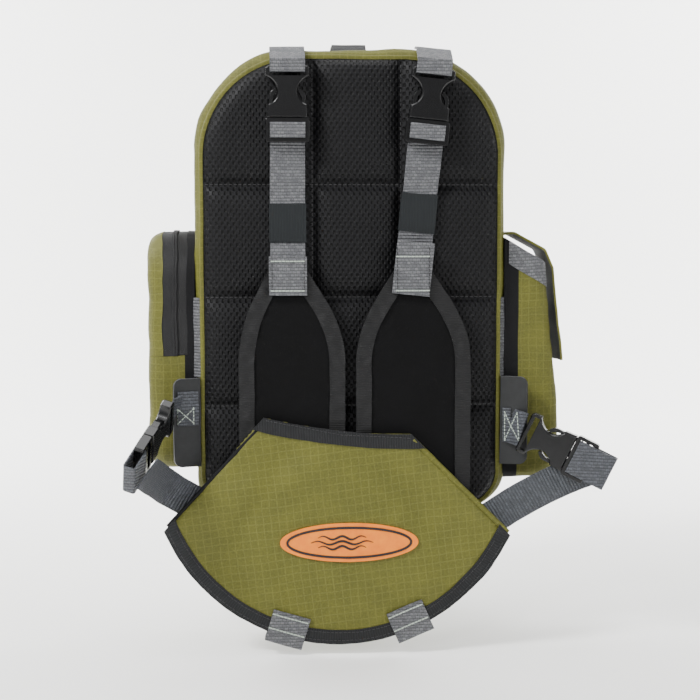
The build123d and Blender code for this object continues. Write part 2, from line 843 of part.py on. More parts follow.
with BuildPart() as rim_zone:
    with BuildSketch(mouth_place.offset(-rim_height)):
        Rectangle(8 * sleeve_reach, 2 * sleeve_width)
    extrude(amount=rim_height)
rim_block = block(
    (half_width + 2 * sleeve_wall, side_pocket_middle - sleeve_width, sleeve_base),
    (half_width + 2 * sleeve_belly, side_pocket_middle + sleeve_width, sleeve_back),
)
with BuildPart() as right_pocket_rim:
    add(sleeve_solid(rim_thickness))
    add(sleeve_outside, mode=Mode.SUBTRACT)
    add(rim_zone.part, mode=Mode.INTERSECT)
    add(rim_block, mode=Mode.INTERSECT)
export("right_pocket_rim", right_pocket_rim.part)

flap_start = side_pocket_middle - flap_width / 2
flap_out = half_width + sleeve_reach + rim_thickness + clearance + 5
with BuildPart() as pocket_flap:
    with BuildSketch(Plane.XZ.offset(-flap_start)):
        with BuildLine():
            FilletPolyline(
                (half_width + clearance, sleeve_back + 2.5),
                (half_width + 12, sleeve_back + flap_lift),
                (flap_out - 6, sleeve_rim + 13),
                (flap_out + 2, sleeve_rim - 6),
                (flap_out + flap_flare, sleeve_rim - flap_drop),
                radius=5.0,
            )
            offset(amount=flap_thickness, side=Side.LEFT)
        make_face()
    extrude(amount=-flap_width)
export("pocket_flap", pocket_flap.part)


# ---- front pocket on the folding front
def front_hull(inset):
    with BuildPart() as hull:
        face = arch(
            Plane.XZ.offset(-front),
            front_width,
            front_height,
            front_corner,
            front_corner,
            base=front_base,
            inset=inset,
        )
        extrude(face, amount=-(front_depth - inset))
        fillet(hull.faces().sort_by(Axis.Y)[-1].edges(), front_edge - inset)
    return hull.part


front_outside = front_hull(0.0)
front_inside = front_hull(wall)
with BuildPart() as front_pocket:
    add(front_outside)
    add(front_inside, mode=Mode.SUBTRACT)
    with Locations((0, front_plane, front_slot_level)):
        Box(front_slot_width, 4 * wall, front_slot_height, mode=Mode.SUBTRACT)
export("front_pocket", front_pocket.part)

with BuildPart() as front_pocket_zip:
    with Locations((0, front_plane - tape_inset - tape_thickness / 2, front_slot_level)):
        Box(front_slot_width, tape_thickness, front_slot_height)
    with Locations((0, front_plane - tape_inset + coil_height / 2, front_slot_level)):
        Box(front_slot_width, coil_height, 2 * coil_width)
export("front_pocket_zip", front_pocket_zip.part)

with BuildPart() as daisy_chain:
    with Locations(*[(0, front_plane + web_thickness / 2, z) for z in chain_levels]):
        Box(front_width - 2 * front_edge, web_thickness, chain_width)
export("daisy_chain", daisy_chain.part)


# ---- zip sliders and pulls
def slider(origin, along, outward):
    """Slider on the coil: length along the zip, a bridge on top for the pull."""
    place = Plane(origin=Vector(*origin), x_dir=Vector(*along), z_dir=Vector(*outward))
    with BuildPart() as body:
        with BuildSketch(place):
            RectangleRounded(slider_length, slider_width, 3.0)
        extrude(amount=slider_height)
        with BuildSketch(place.offset(slider_height)):
            Rectangle(slider_length / 2, slider_width / 4)
        extrude(amount=bridge_height)
    return body.part


def pull(origin, along, outward):
    """Moulded pull that lies on the slider's bridge."""
    place = Plane(origin=Vector(*origin), x_dir=Vector(*along), z_dir=Vector(*outward))
    with BuildPart() as tag:
        with BuildSketch(place):
            with Locations((pull_length / 2, 0)):
                SlotOverall(pull_length, pull_width)
        extrude(amount=pull_thickness)
    return tag.part


def slider_pair(name, coil, along, outward, aside=0.0):
    """Slider and hanging pull for one zip, at a point on the fabric surface over the coil."""
    surface = Vector(*coil)
    out = Vector(*outward)
    shift = out.cross(Vector(0, 0, 1)) * aside
    export(f"{name}_slider", slider(surface + out * slider_stand, along, outward))
    export(f"{name}_pull", pull(surface + shift + out * pull_stand, (0, 0, -1), outward))


main_sliders = {"main_upper": (meeting + slider_step, 1), "main_lower": (meeting - slider_step, -1)}
for name, (level, way) in main_sliders.items():
    aside = way * (pull_width + clearance) / 2
    slider_pair(name, (half_width, coil_line, level), (0, 0, 1), (1, 0, 0), aside)

pocket_slider = (-pocket_coil, side_pocket_middle + pocket_width / 2, pocket_fold + 12.0)
slider_pair("left_pocket", pocket_slider, (0, 0, 1), (0, 1, 0))

front_slider = (-front_slot_width / 2 + slider_length, front_plane, front_slot_level)
slider_pair("front_pocket", front_slider, (1, 0, 0), (0, 1, 0))
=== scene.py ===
import math

import bmesh
import bpy
from mathutils import Matrix, Vector, noise
from mathutils.bvhtree import BVHTree


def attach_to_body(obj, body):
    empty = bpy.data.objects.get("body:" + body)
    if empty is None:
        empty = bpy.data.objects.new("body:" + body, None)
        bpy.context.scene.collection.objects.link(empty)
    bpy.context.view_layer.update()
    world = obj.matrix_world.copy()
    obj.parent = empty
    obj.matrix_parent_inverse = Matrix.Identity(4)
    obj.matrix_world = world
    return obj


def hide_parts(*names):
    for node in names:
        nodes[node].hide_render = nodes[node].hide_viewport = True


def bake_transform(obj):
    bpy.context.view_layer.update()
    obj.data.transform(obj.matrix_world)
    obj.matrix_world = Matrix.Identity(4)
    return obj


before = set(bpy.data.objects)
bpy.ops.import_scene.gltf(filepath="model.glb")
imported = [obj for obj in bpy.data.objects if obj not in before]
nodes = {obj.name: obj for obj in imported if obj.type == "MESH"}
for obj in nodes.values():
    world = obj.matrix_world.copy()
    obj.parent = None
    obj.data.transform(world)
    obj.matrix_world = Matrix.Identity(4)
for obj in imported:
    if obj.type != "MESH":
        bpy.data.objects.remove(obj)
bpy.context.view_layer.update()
mm = 0.001
noise.seed_set(11)  # noise vectors start from the clock unless seeded
print("frame loaded")


# ---- small helpers

def rgb(hexCode):
    # sRGB hex to the linear colour that a shader takes
    parts = [int(hexCode[i:i + 2], 16) / 255 for i in (1, 3, 5)]
    return tuple([p / 12.92 if p <= 0.04045 else ((p + 0.055) / 1.055) ** 2.4 for p in parts] + [1.0])


def addNode(tree, kind, settings=None, links=None):
    node = tree.nodes.new(kind)
    for key, value in (settings or {}).items():
        if isinstance(key, int) or key in node.inputs:
            node.inputs[key].default_value = value
        else:
            setattr(node, key, value)
    for key, source in (links or {}).items():
        tree.links.new(source, node.inputs[key])
    return node


def newMaterial(name, settings):
    # a Principled shader with its fixed values set on its own sockets
    material = bpy.data.materials.new(name)
    material.use_nodes = True
    tree = material.node_tree
    shader = tree.nodes["Principled BSDF"]
    for key, value in settings.items():
        shader.inputs[key].default_value = value
    return material, tree, shader


def surfaceUv(tree):
    # the piece's own UV map, laid out in metres
    return addNode(tree, "ShaderNodeUVMap", {"uv_map": "surface"}).outputs["UV"]


def bandWave(tree, vector, pitch, angle=0.0, distortion=0.0):
    # a sine stripe every pitch metres, across the direction given by angle
    turned = addNode(tree, "ShaderNodeMapping", {"Rotation": (0, 0, angle)}, {"Vector": vector})
    settings = {"Scale": math.pi / 10 / pitch, "Distortion": distortion, "Detail": 1.0}
    return addNode(tree, "ShaderNodeTexWave", settings, {"Vector": turned.outputs[0]}).outputs["Fac"]


def combine(tree, operation, first, second):
    node = addNode(tree, "ShaderNodeMath", {"operation": operation})
    for slot, value in enumerate((first, second)):
        if isinstance(value, (int, float)):
            node.inputs[slot].default_value = value
        else:
            tree.links.new(value, node.inputs[slot])
    return node.outputs[0]


def ramp(tree, factor, stops):
    node = addNode(tree, "ShaderNodeValToRGB", {}, {"Fac": factor})
    elements = node.color_ramp.elements
    while len(elements) < len(stops):
        elements.new(0.5)
    for element, (place, colour) in zip(elements, stops):
        element.position = place
        element.color = rgb(colour)
    return node.outputs["Color"]


def bump(tree, shader, height, distance, strength=1.0, under=None):
    links = {"Height": height}
    if under:
        links["Normal"] = under
    node = addNode(tree, "ShaderNodeBump", {"Distance": distance, "Strength": strength}, links)
    tree.links.new(node.outputs["Normal"], shader.inputs["Normal"])
    return node.outputs["Normal"]


def fineNoise(tree, vector, size, detail=3.0):
    settings = {"Scale": 1 / size, "Detail": detail, "Roughness": 0.6}
    return addNode(tree, "ShaderNodeTexNoise", settings, {"Vector": vector}).outputs["Fac"]


def mixColour(tree, factor, first, second, blend="MIX"):
    node = addNode(tree, "ShaderNodeMix", {"data_type": "RGBA", "blend_type": blend})
    for slot, value in ((0, factor), (6, first), (7, second)):
        if isinstance(value, (int, float)):
            node.inputs[slot].default_value = value
        elif isinstance(value, str):
            node.inputs[slot].default_value = rgb(value)
        else:
            tree.links.new(value, node.inputs[slot])
    return node.outputs[2]


# ---- materials

def ripstopNylon(name, dark, light, thread):
    # PU-coated ripstop nylon: matt cloth with a square grid of thicker, paler threads
    material, tree, shader = newMaterial(name, {"Roughness": 0.66, "Specular IOR Level": 0.35})
    uv = surfaceUv(tree)
    gridPitch = 8.5 * mm
    weavePitch = 1.5 * mm  # real thread is 0.4 mm, drawn coarser so that it shows
    bent = fineNoise(tree, uv, 30 * mm, 2.0)
    lines = [bandWave(tree, uv, gridPitch, turn, 0.6) for turn in (0.0, math.pi / 2)]
    sharp = [combine(tree, "POWER", line, 26.0) for line in lines]
    grid = combine(tree, "MAXIMUM", *sharp)
    threads = [bandWave(tree, uv, weavePitch, turn, 1.0) for turn in (0.0, math.pi / 2)]
    weave = combine(tree, "MULTIPLY", *threads)
    speck = fineNoise(tree, uv, 2.2 * mm, 4.0)
    mottle = combine(tree, "ADD", combine(tree, "MULTIPLY", speck, 0.7), combine(tree, "MULTIPLY", bent, 0.35))
    cloth = ramp(tree, mottle, [(0.25, dark), (0.75, light)])
    faded = combine(tree, "MULTIPLY", grid, combine(tree, "MULTIPLY", speck, 0.42))
    colour = mixColour(tree, faded, cloth, thread)
    tree.links.new(colour, shader.inputs["Base Color"])
    height = combine(tree, "ADD", combine(tree, "MULTIPLY", grid, 0.7), combine(tree, "ADD", weave, speck))
    bump(tree, shader, height, 0.28 * mm, 0.55)
    return material


def spacerMesh():
    # knitted polyester spacer mesh: threads round staggered oval holes over black foam, with a painted highlight
    # of sheen on the thread edges and painted shade in the holes
    material, tree, shader = newMaterial("spacerMesh", {"Roughness": 0.55, "Specular IOR Level": 0.2})
    uv = surfaceUv(tree)
    across, along = 6.4 * mm, 9.4 * mm
    pitch = 1 / math.hypot(1 / across, 1 / along)
    lean = math.atan2(1 / along, 1 / across)
    lattice = combine(tree, "ADD", *[bandWave(tree, uv, pitch, turn, 0.35) for turn in (lean, -lean)])
    knit = combine(tree, "MULTIPLY", lattice, 0.5)
    fibre = fineNoise(tree, uv, 1.0 * mm, 3.0)
    fuzz = combine(tree, "MULTIPLY", combine(tree, "SUBTRACT", fibre, 0.5), 0.16)
    # the paler step at 0.62 is a painted highlight of sheen on the thread edges; the near-black low end is the
    # black foam beneath plus painted shade of the holes' depth
    colour = ramp(tree, combine(tree, "ADD", knit, fuzz),
                  [(0.24, "#000000"), (0.42, "#030304"), (0.62, "#101013"), (0.95, "#0a0a0c")])
    tree.links.new(colour, shader.inputs["Base Color"])
    hole = ramp(tree, knit, [(0.10, "#000000"), (0.48, "#ffffff")])
    height = combine(tree, "ADD", hole, combine(tree, "MULTIPLY", fibre, 0.15))
    bump(tree, shader, height, 1.3 * mm, 0.9)
    return material


def blackCloth(name, dark, light, roughness):
    # brushed polyester: short nap that scatters light, a fine twill under it
    material, tree, shader = newMaterial(name, {"Roughness": roughness, "Specular IOR Level": 0.15})
    uv = surfaceUv(tree)
    nap = fineNoise(tree, uv, 1.6 * mm, 5.0)
    broad = fineNoise(tree, uv, 34 * mm, 2.0)
    twill = bandWave(tree, uv, 1.6 * mm, 0.8, 1.5)
    both = combine(tree, "ADD", combine(tree, "MULTIPLY", nap, 0.55), combine(tree, "MULTIPLY", broad, 0.45))
    tree.links.new(ramp(tree, both, [(0.3, dark), (0.72, light)]), shader.inputs["Base Color"])
    bump(tree, shader, combine(tree, "ADD", nap, combine(tree, "MULTIPLY", twill, 0.4)), 0.22 * mm, 0.6)
    return material


def wovenWebbing(name, dark, light, gloss=0.55):
    # nylon webbing: rows of flat floats across the strap, each row set half a float on from the last;
    # a real row is 2 mm high, drawn coarser so that it shows
    material, tree, shader = newMaterial(name, {"Roughness": gloss, "Specular IOR Level": 0.4})
    uv = surfaceUv(tree)
    settings = {
        "Scale": 1.0, "Mortar Size": 0.45 * mm, "Mortar Smooth": 0.6, "Brick Width": 4.2 * mm,
        "Row Height": 3.4 * mm, "Color1": rgb(dark), "Color2": rgb(light), "Mortar": rgb("#1c1d20"),
    }
    floats = addNode(tree, "ShaderNodeTexBrick", settings, {"Vector": uv})
    speck = fineNoise(tree, uv, 1.2 * mm, 4.0)
    colour = mixColour(tree, 0.55, floats.outputs["Color"], ramp(tree, speck, [(0.3, dark), (0.7, light)]))
    tree.links.new(colour, shader.inputs["Base Color"])
    ribs = bandWave(tree, uv, 3.4 * mm, math.pi / 2, 0.5)
    low = combine(tree, "SUBTRACT", ribs, combine(tree, "MULTIPLY", floats.outputs["Fac"], 0.8))
    bump(tree, shader, combine(tree, "ADD", low, combine(tree, "MULTIPLY", speck, 0.3)), 0.9 * mm, 1.0)
    return material


def ribbedTape(name, dark, light, pitch, turn):
    # grosgrain tape: close ribs one way, dull nylon
    material, tree, shader = newMaterial(name, {"Roughness": 0.6, "Specular IOR Level": 0.3})
    uv = surfaceUv(tree)
    ribs = bandWave(tree, uv, pitch, turn, 0.7)
    speck = fineNoise(tree, uv, 1.4 * mm, 4.0)
    both = combine(tree, "ADD", combine(tree, "MULTIPLY", ribs, 0.6), combine(tree, "MULTIPLY", speck, 0.4))
    tree.links.new(ramp(tree, both, [(0.2, dark), (0.8, light)]), shader.inputs["Base Color"])
    bump(tree, shader, both, 0.5 * mm, 0.8)
    return material


def mouldedPlastic(name, colour, roughness, edge, grain):
    # injection-moulded plastic: smooth skin with a faint flow mottle and softly broken edges
    material, tree, shader = newMaterial(name, {"Roughness": roughness, "IOR": 1.48})
    place = addNode(tree, "ShaderNodeTexCoord").outputs["Object"]
    mottle = fineNoise(tree, place, 9 * mm, 3.0)
    tree.links.new(ramp(tree, mottle, [(0.3, colour[0]), (0.75, colour[1])]), shader.inputs["Base Color"])
    rounded = addNode(tree, "ShaderNodeBevel", {"Radius": edge, "samples": 6}).outputs["Normal"]
    bump(tree, shader, fineNoise(tree, place, grain, 2.0), 0.05 * mm, 0.35, rounded)
    return material


def sewingThread(name, dark, light):
    # bonded nylon thread: a twist of fine plies
    material, tree, shader = newMaterial(name, {"Roughness": 0.5, "IOR": 1.53})
    place = addNode(tree, "ShaderNodeTexCoord").outputs["Object"]
    plies = fineNoise(tree, place, 0.8 * mm, 3.0)
    tree.links.new(ramp(tree, plies, [(0.3, dark), (0.7, light)]), shader.inputs["Base Color"])
    bump(tree, shader, plies, 0.15 * mm, 0.6)
    return material


def lacqueredZinc():
    # die-cast zinc under black lacquer, worn a little at the edges
    material, tree, shader = newMaterial("lacqueredZinc", {"Roughness": 0.34, "Metallic": 0.35})
    place = addNode(tree, "ShaderNodeTexCoord").outputs["Object"]
    wear = fineNoise(tree, place, 5 * mm, 4.0)
    tree.links.new(ramp(tree, wear, [(0.45, "#141416"), (0.8, "#3a3a3c")]), shader.inputs["Base Color"])
    rounded = addNode(tree, "ShaderNodeBevel", {"Radius": 0.5 * mm, "samples": 6}).outputs["Normal"]
    bump(tree, shader, wear, 0.05 * mm, 0.3, rounded)
    return material


finish = {
    "olive": ripstopNylon("oliveRipstop", "#3f400f", "#605f1d", "#7f7e42"),
    "mesh": spacerMesh(),
    "pad": blackCloth("brushedPolyester", "#030303", "#08080a", 0.85),
    "plain": blackCloth("plainPolyester", "#09090a", "#151517", 0.75),
    "lining": blackCloth("coatedLiningAndPaintedShade", "#08080a", "#121214", 0.6),
    "grey": wovenWebbing("greyWebbing", "#3c3d41", "#77787b"),
    "belt": wovenWebbing("beltWebbing", "#2f3135", "#565960"),
    "dark": wovenWebbing("darkWebbing", "#0c0d0f", "#1b1c1f"),
    "binding": ribbedTape("grosgrainBinding", "#060708", "#17181b", 2.8 * mm, math.pi / 2),
    "padBinding": ribbedTape("foldedBinding", "#050506", "#101012", 1.9 * mm, math.pi / 2),
    "elastic": ribbedTape("wovenElastic", "#04070a", "#0e1518", 1.7 * mm, 0.0),
    "zipTape": ribbedTape("zipTape", "#070708", "#141416", 1.4 * mm, 0.7),
    "acetal": mouldedPlastic("blackAcetal", ("#030304", "#070709"), 0.26, 0.8 * mm, 3.0 * mm),
    "sheet": mouldedPlastic("laminatedFoamSheet", ("#0b0c0d", "#16181a"), 0.6, 0.4 * mm, 1.2 * mm),
    "cutEdge": mouldedPlastic("greyFoamEdge", ("#3b3c3f", "#58595c"), 0.8, 0.3 * mm, 0.8 * mm),
    "pull": mouldedPlastic("mouldedRubber", ("#080809", "#121214"), 0.5, 0.6 * mm, 1.5 * mm),
    "board": mouldedPlastic("polyethyleneBoard", ("#0a0b0c", "#141518"), 0.45, 0.3 * mm, 4.0 * mm),
    "patch": mouldedPlastic("orangeRubber", ("#e07000", "#ee8400"), 0.6, 0.5 * mm, 1.0 * mm),
    "ink": mouldedPlastic("blackRubber", ("#0a0607", "#161011"), 0.6, 0.3 * mm, 1.0 * mm),
    "paleThread": sewingThread("paleThread", "#7f8a80", "#bcc6bb"),
    "darkThread": sewingThread("darkThread", "#0e0e10", "#1d1d20"),
    "slider": lacqueredZinc(),
}
print("materials made")


# ---- geometry helpers

def rippleAt(point, size, amount):
    # one smooth field for all the cloth, so pieces sewn together move together
    # and it fades out beside the fold hinge and the flap's hinge, where two pieces turn past each other
    fold = min(1.0, math.hypot(point.y - 0.085, point.z - 0.063) / 0.045)
    flapLine = 1.0
    if abs(point.y + 0.032) < 0.06:
        flapLine = min(1.0, math.hypot(point.x - 0.172, point.z - 0.309) / 0.07)
    if point.y > 0.12:
        fold = min(1.0, abs(point.z - 0.300) / 0.035)
    broad = noise.noise_vector(point / size)
    small = noise.noise_vector(point / (size * 0.36) + Vector((7.1, 3.3, 5.9)))
    return (broad + small * 0.35) * amount * fold * fold * flapLine * flapLine


def gridCut(mesh, pitch):
    # cuts a body along three sets of parallel planes, so flat faces get points to bend at
    for axis in range(3):
        low = min(v.co[axis] for v in mesh.verts)
        high = max(v.co[axis] for v in mesh.verts)
        normal = Vector([1.0 if i == axis else 0.0 for i in range(3)])
        steps = int((high - low) / pitch)
        for step in range(1, steps + 1):
            place = normal * (low + (high - low) * step / (steps + 1))
            everything = mesh.verts[:] + mesh.edges[:] + mesh.faces[:]
            bmesh.ops.bisect_plane(mesh, geom=everything, dist=1e-6, plane_co=place, plane_no=normal)


def nodeMesh(nodeName, pitch):
    mesh = bmesh.new()
    mesh.from_mesh(nodes[nodeName].data)
    bmesh.ops.remove_doubles(mesh, verts=mesh.verts, dist=2e-5)
    if not pitch:
        return mesh
    bmesh.ops.dissolve_limit(mesh, angle_limit=0.02, verts=mesh.verts, edges=mesh.edges)
    bmesh.ops.connect_verts_concave(mesh, faces=mesh.faces)
    gridCut(mesh, pitch)
    return mesh


def puckered(size, amount, fullness, middle):
    # folded tape drawn up by its stitching: short waves across it and a rolled edge
    def shape(point):
        wave = noise.noise(Vector((point.x, 0, point.z)) / size) + 0.5 * noise.noise(point / (size * 0.45))
        outward = -1.0 if point.y < middle else 1.0
        return point + Vector((0, outward * (wave * amount + fullness), 0))
    return shape


def crease(point, a, b, width, height):
    # height in metres of a soft fold that runs from a to b on a hanging panel, a and b in mm
    spot = Vector((point.x, point.z)) / mm
    first, last = Vector(a), Vector(b)
    run = last - first
    part = (spot - first).dot(run) / run.length_squared
    fade = max(0.0, 1 - abs(part - 0.5) * 1.5)
    away = (spot - first - run * part).length
    return height * math.exp(-((away / width) ** 2)) * fade * mm


def layUv(mesh, turn=0.0):
    # flat map in metres, seen along each face's main direction
    layer = mesh.loops.layers.uv.new("surface")
    cosine, sine = math.cos(turn), math.sin(turn)
    for face in mesh.faces:
        normal = face.normal
        sizes = [abs(normal.x), abs(normal.y), abs(normal.z)]
        main = sizes.index(max(sizes))
        for loop in face.loops:
            point = loop.vert.co
            first, second = [(point.y, point.z), (point.x, point.z), (point.x, point.y)][main]
            loop[layer].uv = (first * cosine + second * sine, second * cosine - first * sine)


def layPathUv(mesh, path):
    # map in metres along a line and across it, for tape that follows an edge
    layer = mesh.loops.layers.uv.new("surface")
    reach = [0.0]
    for a, b in zip(path, path[1:]):
        reach.append(reach[-1] + (b - a).length)
    found = {}
    for vert in mesh.verts:
        best = None
        for index, (a, b) in enumerate(zip(path, path[1:])):
            run = b - a
            part = max(0.0, min(1.0, (vert.co - a).dot(run) / run.length_squared))
            gap = vert.co - (a + run * part)
            if best is None or gap.length < best[0]:
                best = (gap.length, reach[index] + part * run.length, gap, run.normalized())
        side = best[2].dot(Vector((0, 1, 0)).cross(best[3])) + best[2].y
        found[vert.index] = (side, best[1])
    for face in mesh.faces:
        for loop in face.loops:
            loop[layer].uv = found[loop.vert.index]


def makeObject(name, mesh, material, smooth=True):
    data = bpy.data.meshes.new(name)
    for face in mesh.faces:
        face.smooth = smooth
    mesh.to_mesh(data)
    mesh.free()
    piece = bpy.data.objects.new(name, data)
    bpy.context.collection.objects.link(piece)
    for entry in material if isinstance(material, (list, tuple)) else [material]:
        data.materials.append(entry)
    return piece


def keepCreases(piece, angle=0.7):
    # smooth shading with the real folds kept sharp
    data = piece.data
    mesh = bmesh.new()
    mesh.from_mesh(data)
    for edge in mesh.edges:
        if len(edge.link_faces) == 2:
            edge.smooth = edge.calc_face_angle(0.0) < angle
    mesh.to_mesh(data)
    mesh.free()


def attach(piece, body, slotName, *replaced):
    if replaced:
        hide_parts(*replaced)
    if isinstance(body, tuple):
        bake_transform(piece)
    elif body:
        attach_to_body(piece, body)
    return piece


fabric = {"size": 0.062, "amount": 0.0032}


def softCopy(
    nodeName, name, body, slotName, material, pitch, size=None, amount=None, turn=0.0, path=None, shape=None
):
    # a sewn piece cut from the outline of its CAD body, with cloth's slack in it
    mesh = nodeMesh(nodeName, pitch)
    size = size or fabric["size"]
    amount = fabric["amount"] if amount is None else amount
    mesh.normal_update()
    if path:
        layPathUv(mesh, path)
    else:
        layUv(mesh, turn)
    for vert in mesh.verts:
        moved = vert.co + rippleAt(vert.co, size, amount)
        vert.co = shape(moved) if shape else moved
    mesh.normal_update()
    piece = makeObject(name, mesh, material)
    keepCreases(piece)
    return attach(piece, body, slotName, nodeName)


def surfaceTree(piece):
    return BVHTree.FromObject(piece, bpy.context.evaluated_depsgraph_get())


def layOn(piece, target, base):
    # lays a thin piece on the face of another: base is the depth that the piece was drawn on
    tree = surfaceTree(target)
    for vert in piece.data.vertices:
        hit = tree.ray_cast(Vector((vert.co.x, -0.3, vert.co.z)), Vector((0, 1, 0)), 0.5)
        if hit[0] is not None:
            vert.co.y += hit[0].y - base


def stitchRow(name, body, target, points, along, material, stitch=(3.2, 1.4, 0.7, 0.55)):
    # a line of thread laid on a piece: each stitch is a small rounded bar that dips at its ends
    length, gap, width, height = [s * mm for s in stitch]
    along = Vector(along).normalized()
    tree = surfaceTree(target)
    laid = []
    for point in points:
        hit = tree.ray_cast(Vector(point) + along * 0.05, -along, 0.12)
        if hit[0] is not None:
            laid.append((hit[0], hit[1] if hit[1].dot(along) > 0 else -hit[1]))
    mesh = bmesh.new()
    left = 0.0
    for (a, normalA), (b, normalB) in zip(laid, laid[1:]):
        run = b - a
        if not 1e-6 < run.length < 0.03:
            continue
        direction = run.normalized()
        place = left
        while place < run.length:
            normal = normalA.lerp(normalB, place / run.length).normalized()
            across = normal.cross(direction).normalized()
            turned = Matrix((direction * length, across * width, normal * height)).transposed().to_4x4()
            middle = a + direction * place + normal * height * 0.35
            bmesh.ops.create_cube(mesh, size=1.0, matrix=Matrix.Translation(middle) @ turned)
            place += length + gap
        left = place - run.length
    if not mesh.verts:
        raise ValueError(f"{name}: no stitch landed on {target.name}")
    bmesh.ops.recalc_face_normals(mesh, faces=mesh.faces)
    return attach(makeObject(name, mesh, material, smooth=False), body, None)


def frameAt(middle, ahead, across):
    # a place on a line: first column across it, second out of its face, third along it
    along = ahead.normalized()
    out = along.cross(across).normalized()
    turned = Matrix((out.cross(along), out, along)).transposed().to_4x4()
    return Matrix.Translation(middle) @ turned


def sweep(profile, places, closed=True):
    # carries a profile along the places, one extrusion at a time, with a map across and along it
    mesh = bmesh.new()
    acrossLayer = mesh.verts.layers.float.new("across")
    alongLayer = mesh.verts.layers.float.new("along")
    ring = [mesh.verts.new(places[0] @ Vector((x, y, 0))) for x, y in profile]
    for vert, (x, y) in zip(ring, profile):
        vert[acrossLayer] = x
    pairs = list(zip(ring, ring[1:])) + ([(ring[-1], ring[0])] if closed else [])
    edges = [mesh.edges.new(pair) for pair in pairs]
    if closed:
        bmesh.ops.contextual_create(mesh, geom=edges)
    reach = 0.0
    for before, after in zip(places, places[1:]):
        made = bmesh.ops.extrude_edge_only(mesh, edges=edges)["geom"]
        edges = [e for e in made if isinstance(e, bmesh.types.BMEdge)]
        verts = [v for v in made if isinstance(v, bmesh.types.BMVert)]
        bmesh.ops.transform(mesh, matrix=after @ before.inverted(), verts=verts)
        reach += (after.translation - before.translation).length
        for vert in verts:
            vert[alongLayer] = reach
    if closed:
        bmesh.ops.contextual_create(mesh, geom=edges)
    bmesh.ops.recalc_face_normals(mesh, faces=mesh.faces)
    layer = mesh.loops.layers.uv.new("surface")
    for face in mesh.faces:
        for loop in face.loops:
            loop[layer].uv = (loop.vert[acrossLayer], loop.vert[alongLayer])
    return mesh


def straight(a, b, count=60):
    first, last = Vector(a) * mm, Vector(b) * mm
    return [first.lerp(last, i / count) for i in range(count + 1)]


def arcPoints(centre, radius, start, stop, depth, count=90):
    # points round a circle seen from the harness side, angles from straight down
    found = []
    for i in range(count + 1):
        angle = math.radians(start + (stop - start) * i / count)
        x, z = centre[0] + radius * math.sin(angle), centre[1] - radius * math.cos(angle)
        found.append(Vector((x, depth, z)) * mm)
    return found


def inflate(piece, pressure, held, voxel, limit):
    # a short cloth simulation with a little air in it; these thin, firmly held foam pieces move by
    # well under a millimetre, so their shape is nearly all the CAD body's and that of the folds
    remesh = piece.modifiers.new("remesh", "REMESH")
    remesh.mode = "VOXEL"
    remesh.voxel_size = voxel
    remesh.use_smooth_shade = True
    bpy.context.view_layer.objects.active = piece
    piece.select_set(True)
    bpy.ops.object.modifier_apply(modifier="remesh")
    before = [v.co.copy() for v in piece.data.vertices]
    pinned = piece.vertex_groups.new(name="held")
    for index, point in enumerate(before):
        pinned.add([index], held(point), "REPLACE")
    cloth = piece.modifiers.new("cloth", "CLOTH")
    cloth.settings.use_pressure = True
    cloth.settings.uniform_pressure_force = pressure
    cloth.settings.effector_weights.gravity = 0.0
    cloth.settings.vertex_group_mass = "held"
    cloth.settings.tension_stiffness = 25
    cloth.settings.compression_stiffness = 25
    cloth.settings.bending_stiffness = 0.6
    cloth.point_cache.frame_start = 1
    cloth.point_cache.frame_end = 20
    for step in range(1, 21):
        bpy.context.scene.frame_set(step)
    bpy.ops.object.modifier_apply(modifier="cloth")
    bpy.context.scene.frame_set(1)
    furthest = max((vert.co - start).length for vert, start in zip(piece.data.vertices, before))
    print(f"{piece.name} filled: furthest move {furthest / mm:.2f} mm before the limit of {limit / mm:.1f} mm")
    for vert, start in zip(piece.data.vertices, before):
        moved = vert.co - start
        if moved.length > limit:
            vert.co = start + moved.normalized() * limit
    piece.select_set(False)
    return piece


def roundedInside(x, z, halfWidth, low, high, crown, foot):
    # how far a point lies inside a rounded outline, negative outside it
    middle = (low + high) / 2
    radius = crown if z > middle else foot
    dx = abs(x) - (halfWidth - radius)
    dz = abs(z - middle) - ((high - low) / 2 - radius)
    return radius - math.hypot(max(dx, 0), max(dz, 0)) - min(max(dx, dz), 0)


# ---- pack body: shell, folding front and their zip tapes

bodySettings = {"pitch": 0.009, "tapePitch": 0.006}
shell = softCopy("main_shell", "packShell", "pack", "olive_ripstop", finish["olive"], bodySettings["pitch"])
door = softCopy("front_door", "packDoor", "front_panel", "olive_ripstop", finish["olive"], bodySettings["pitch"])
for nodeName, name, body in (
    ("main_zip_tub_tape", "packTapeBack", "pack"),
    ("main_zip_door_tape", "packTapeFront", "front_panel"),
):
    softCopy(nodeName, name, body, "zip_tape", finish["zipTape"], bodySettings["tapePitch"])
print("pack body made")

# ---- quilted back panel

quilt = {
    "pitch": 0.0042, "puff": 6.0, "falloff": 13.0, "edge": 9.0,
    "columns": (-43.0, 54.0), "rows": (119.0, 239.0, 362.0), "seam": 2.2, "back": -85.0, "front": -101.0,
}


def quiltDepth(x, z):
    # depth of the padded face in mm: sunk at each seam, swollen between them
    inside = roundedInside(x, z, 162.0, 6.0, 498.0, 106.0, 38.0)
    seams = [abs(x - c) for c in quilt["columns"]] + [abs(z - r) for r in quilt["rows"]]
    nearest = max(0.0, min(seams) - quilt["seam"])
    swell = 1 - math.exp(-nearest / quilt["falloff"] * 1.6)
    rim = 1 - math.exp(-max(inside, 0.0) / quilt["edge"] * 1.5)
    uneven = noise.noise(Vector((x / 34, z / 41, 2.5))) * 1.1 + noise.noise(Vector((x / 13, z / 15, 8.5))) * 0.35
    padding = quilt["puff"] * swell * rim + 5.5 * rim * (0.45 + 0.55 * swell)
    return quilt["back"] - (4.0 + padding + uneven * rim * swell)


